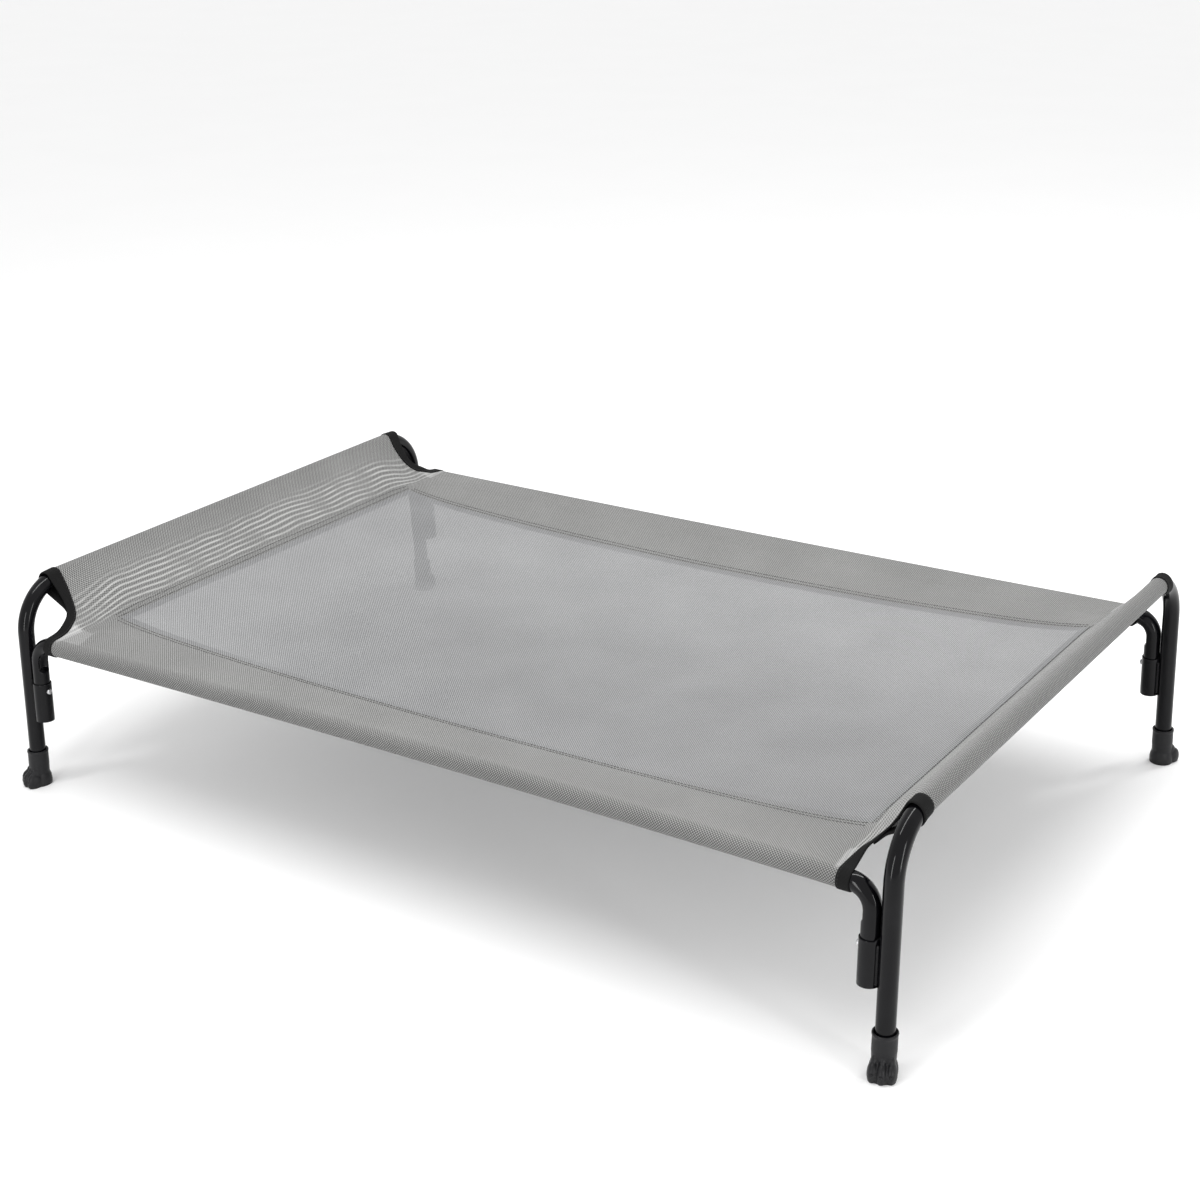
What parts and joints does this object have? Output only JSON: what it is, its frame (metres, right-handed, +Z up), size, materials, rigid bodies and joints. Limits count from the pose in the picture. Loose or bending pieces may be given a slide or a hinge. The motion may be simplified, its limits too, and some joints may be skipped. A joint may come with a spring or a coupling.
{
  "type": "raised pet bed",
  "caption": "Raised pet bed: a grey mesh sling on a black bent-tube frame, with raised end bolsters, snap-button sockets and paw-shaped rubber feet.",
  "frame": {"origin": "on the floor under the middle of the bed", "axes": "+X along the length towards the foot end, +Y across towards the back side, +Z up"},
  "size_m": [1.2168, 0.822, 0.2703],
  "materials": {
    "powder_coat": "gloss black powder coat",
    "bright_zinc": "bright zinc plate",
    "spring_steel": "plain spring steel",
    "bare_steel": "zinc plated tube",
    "foot_rubber": "matt moulded rubber",
    "binding_tape": "woven black tape",
    "mesh_double": "grey coated mesh, two layers",
    "mesh_single": "grey coated mesh, one layer"
  },
  "bodies": {
    "frame": {"button_spring_foot_back": "spring_steel", "button_spring_foot_front": "spring_steel", "button_spring_head_back": "spring_steel", "button_spring_head_front": "spring_steel", "corner_binding_foot_back": "binding_tape", "corner_binding_foot_front": "binding_tape", "corner_binding_head_back": "binding_tape", "corner_binding_head_front": "binding_tape", "corner_leg_foot_back": "powder_coat", "corner_leg_foot_front": "powder_coat", "corner_leg_head_back": "powder_coat", "corner_leg_head_front": "powder_coat", "end_joiner_foot": "bare_steel", "end_joiner_head": "bare_steel", "paw_foot_foot_back": "foot_rubber", "paw_foot_foot_front": "foot_rubber", "paw_foot_head_back": "foot_rubber", "paw_foot_head_front": "foot_rubber", "rail_joiner_back": "bare_steel", "rail_joiner_front": "bare_steel", "side_rail_foot_back": "powder_coat", "side_rail_foot_front": "powder_coat", "side_rail_head_back": "powder_coat", "side_rail_head_front": "powder_coat", "sling_centre": "mesh_single", "sling_sleeve_back": "mesh_double", "sling_sleeve_foot": "mesh_double", "sling_sleeve_front": "mesh_double", "sling_sleeve_head": "mesh_double", "socket_foot_back": "powder_coat", "socket_foot_front": "powder_coat", "socket_head_back": "powder_coat", "socket_head_front": "powder_coat"},
    "button_head_front": {"snap_button_head_front": "bright_zinc"},
    "button_head_back": {"snap_button_head_back": "bright_zinc"},
    "button_foot_front": {"snap_button_foot_front": "bright_zinc"},
    "button_foot_back": {"snap_button_foot_back": "bright_zinc"}
  },
  "joints": [
    {"name": "button_press_head_front", "type": "slide", "parent": "frame", "child": "button_head_front", "axis": [-1, 0, 0], "range_m": [0, 0.004], "stiffness_N_per_m": 2000, "springref_m": -0.001, "deforming": ["button_spring_head_front"]},
    {"name": "button_press_head_back", "type": "slide", "parent": "frame", "child": "button_head_back", "axis": [-1, 0, 0], "range_m": [0, 0.004], "stiffness_N_per_m": 2000, "springref_m": -0.001, "deforming": ["button_spring_head_back"]},
    {"name": "button_press_foot_front", "type": "slide", "parent": "frame", "child": "button_foot_front", "axis": [1, 0, 0], "range_m": [0, 0.004], "stiffness_N_per_m": 2000, "springref_m": -0.001, "deforming": ["button_spring_foot_front"]},
    {"name": "button_press_foot_back", "type": "slide", "parent": "frame", "child": "button_foot_back", "axis": [1, 0, 0], "range_m": [0, 0.004], "stiffness_N_per_m": 2000, "springref_m": -0.001, "deforming": ["button_spring_foot_back"]}
  ]
}
